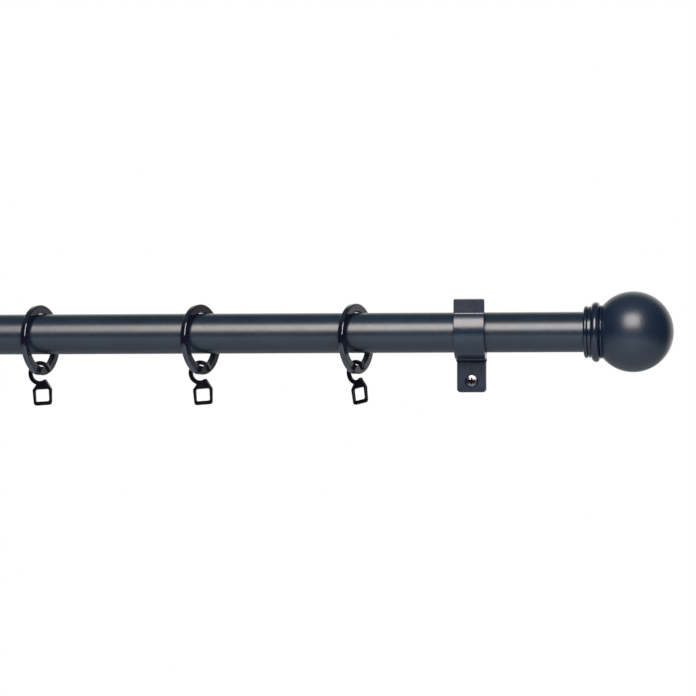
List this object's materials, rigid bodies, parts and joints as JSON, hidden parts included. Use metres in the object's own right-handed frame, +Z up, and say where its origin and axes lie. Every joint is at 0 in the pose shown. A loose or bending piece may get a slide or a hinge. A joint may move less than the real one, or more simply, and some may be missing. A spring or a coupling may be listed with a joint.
{
  "type": "curtain rod with brackets",
  "caption": "Round curtain rod with ball finials, wall brackets with J-shaped cradles, and sliding rings that carry square-eyed hooks.",
  "frame": {"origin": "on the wall, midway between the two brackets, at the height of the rod axis", "axes": "+X along the rod towards the right-hand finial seen from the room, +Y into the wall, +Z up"},
  "size_m": [1.3028, 0.103, 0.078],
  "materials": {
    "graphite_paint": "satin dark graphite paint with a blue cast",
    "hook_plastic": "semi-matt black moulded plastic",
    "liner_plastic": "matt dark moulded plastic",
    "zinc_screw": "zinc-plated steel"
  },
  "bodies": {
    "rod_assembly": {"pole_tube": "graphite_paint", "bracket_cradle_left": "graphite_paint", "cradle_liner_left": "liner_plastic", "bracket_arm_left": "graphite_paint", "wall_plate_left": "graphite_paint", "arm_rivets_left": "graphite_paint", "clamp_screw_left": "zinc_screw", "clamp_nut_left": "zinc_screw", "bracket_cradle_right": "graphite_paint", "cradle_liner_right": "liner_plastic", "bracket_arm_right": "graphite_paint", "wall_plate_right": "graphite_paint", "arm_rivets_right": "graphite_paint", "clamp_screw_right": "zinc_screw", "clamp_nut_right": "zinc_screw"},
    "finial_left": {"finial_ball_left": "graphite_paint", "finial_collar_left": "graphite_paint", "finial_screw_left": "zinc_screw", "finial_grub_screw_left": "zinc_screw"},
    "finial_right": {"finial_ball_right": "graphite_paint", "finial_collar_right": "graphite_paint", "finial_screw_right": "zinc_screw", "finial_grub_screw_right": "zinc_screw"},
    "ring_01": {"ring_01": "graphite_paint"},
    "hook_01": {"ring_hook_01": "hook_plastic"},
    "ring_02": {"ring_02": "graphite_paint"},
    "hook_02": {"ring_hook_02": "hook_plastic"},
    "ring_03": {"ring_03": "graphite_paint"},
    "hook_03": {"ring_hook_03": "hook_plastic"},
    "ring_04": {"ring_04": "graphite_paint"},
    "hook_04": {"ring_hook_04": "hook_plastic"},
    "ring_05": {"ring_05": "graphite_paint"},
    "hook_05": {"ring_hook_05": "hook_plastic"},
    "ring_06": {"ring_06": "graphite_paint"},
    "hook_06": {"ring_hook_06": "hook_plastic"},
    "ring_07": {"ring_07": "graphite_paint"},
    "hook_07": {"ring_hook_07": "hook_plastic"},
    "ring_08": {"ring_08": "graphite_paint"},
    "hook_08": {"ring_hook_08": "hook_plastic"},
    "ring_09": {"ring_09": "graphite_paint"},
    "hook_09": {"ring_hook_09": "hook_plastic"}
  },
  "joints": [
    {"name": "finial_left_pull", "type": "slide", "parent": "rod_assembly", "child": "finial_left", "axis": [-1, 0, 0], "range_m": [0, 0.03]},
    {"name": "finial_right_pull", "type": "slide", "parent": "rod_assembly", "child": "finial_right", "axis": [1, 0, 0], "range_m": [0, 0.03]},
    {"name": "ring_01_slide", "type": "slide", "parent": "rod_assembly", "child": "ring_01", "axis": [1, 0, 0], "range_m": [-0.04, 0.06]},
    {"name": "hook_01_swing", "type": "hinge", "parent": "ring_01", "child": "hook_01", "pos_m": [-0.42962, -0.075, -0.02563], "axis": [0.2756, 0.9613, 0], "range_deg": [-45, 45]},
    {"name": "ring_02_slide", "type": "slide", "parent": "rod_assembly", "child": "ring_02", "axis": [1, 0, 0], "range_m": [-0.06, 0.06]},
    {"name": "hook_02_swing", "type": "hinge", "parent": "ring_02", "child": "hook_02", "pos_m": [-0.32262, -0.075, -0.02563], "axis": [0.342, 0.9397, 0], "range_deg": [-45, 45]},
    {"name": "ring_03_slide", "type": "slide", "parent": "rod_assembly", "child": "ring_03", "axis": [1, 0, 0], "range_m": [-0.06, 0.06]},
    {"name": "hook_03_swing", "type": "hinge", "parent": "ring_03", "child": "hook_03", "pos_m": [-0.21362, -0.075, -0.02563], "axis": [0.2419, 0.9703, 0], "range_deg": [-45, 45]},
    {"name": "ring_04_slide", "type": "slide", "parent": "rod_assembly", "child": "ring_04", "axis": [1, 0, 0], "range_m": [-0.06, 0.06]},
    {"name": "hook_04_swing", "type": "hinge", "parent": "ring_04", "child": "hook_04", "pos_m": [-0.10662, -0.075, -0.02563], "axis": [0.3746, 0.9272, 0], "range_deg": [-45, 45]},
    {"name": "ring_05_slide", "type": "slide", "parent": "rod_assembly", "child": "ring_05", "axis": [1, 0, 0], "range_m": [-0.06, 0.06]},
    {"name": "hook_05_swing", "type": "hinge", "parent": "ring_05", "child": "hook_05", "pos_m": [0.00038, -0.075, -0.02563], "axis": [0.2756, 0.9613, 0], "range_deg": [-45, 45]},
    {"name": "ring_06_slide", "type": "slide", "parent": "rod_assembly", "child": "ring_06", "axis": [1, 0, 0], "range_m": [-0.06, 0.06]},
    {"name": "hook_06_swing", "type": "hinge", "parent": "ring_06", "child": "hook_06", "pos_m": [0.10438, -0.075, -0.02563], "axis": [0.309, 0.9511, 0], "range_deg": [-45, 45]},
    {"name": "ring_07_slide", "type": "slide", "parent": "rod_assembly", "child": "ring_07", "axis": [1, 0, 0], "range_m": [-0.06, 0.06]},
    {"name": "hook_07_swing", "type": "hinge", "parent": "ring_07", "child": "hook_07", "pos_m": [0.20898, -0.075, -0.02563], "axis": [0.2419, 0.9703, 0], "range_deg": [-45, 45]},
    {"name": "ring_08_slide", "type": "slide", "parent": "rod_assembly", "child": "ring_08", "axis": [1, 0, 0], "range_m": [-0.06, 0.06]},
    {"name": "hook_08_swing", "type": "hinge", "parent": "ring_08", "child": "hook_08", "pos_m": [0.32188, -0.075, -0.02563], "axis": [0.2419, 0.9703, 0], "range_deg": [-45, 45]},
    {"name": "ring_09_slide", "type": "slide", "parent": "rod_assembly", "child": "ring_09", "axis": [1, 0, 0], "range_m": [-0.06, 0.04]},
    {"name": "hook_09_swing", "type": "hinge", "parent": "ring_09", "child": "hook_09", "pos_m": [0.43078, -0.075, -0.02563], "axis": [0.6293, 0.7771, 0], "range_deg": [-45, 45]}
  ]
}
